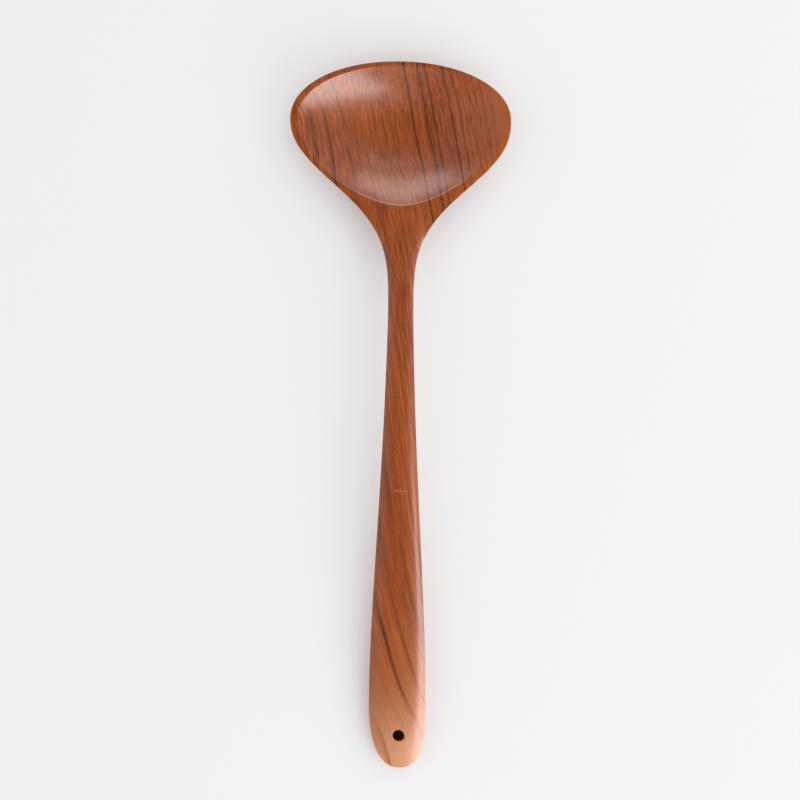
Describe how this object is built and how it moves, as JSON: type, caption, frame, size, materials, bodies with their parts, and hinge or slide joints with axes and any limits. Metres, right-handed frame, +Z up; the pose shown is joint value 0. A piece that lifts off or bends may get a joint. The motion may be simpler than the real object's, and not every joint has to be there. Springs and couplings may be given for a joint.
{
  "type": "soup ladle",
  "caption": "Wooden soup ladle carved in one piece: a shallow oval bowl with its handle across the long side, a slim neck, an arched flaring handle and a hanging hole.",
  "frame": {"origin": "middle of the ladle's box, at the level of the table it lies on", "axes": "+Y from the handle's end to the bowl's tip, +X across the bowl, +Z up out of the bowl"},
  "size_m": [0.103, 0.3306, 0.0272],
  "materials": {
    "wood": "polished and oiled to a satin sheen"
  },
  "bodies": {
    "root": {"ladle": "wood"}
  },
  "joints": []
}
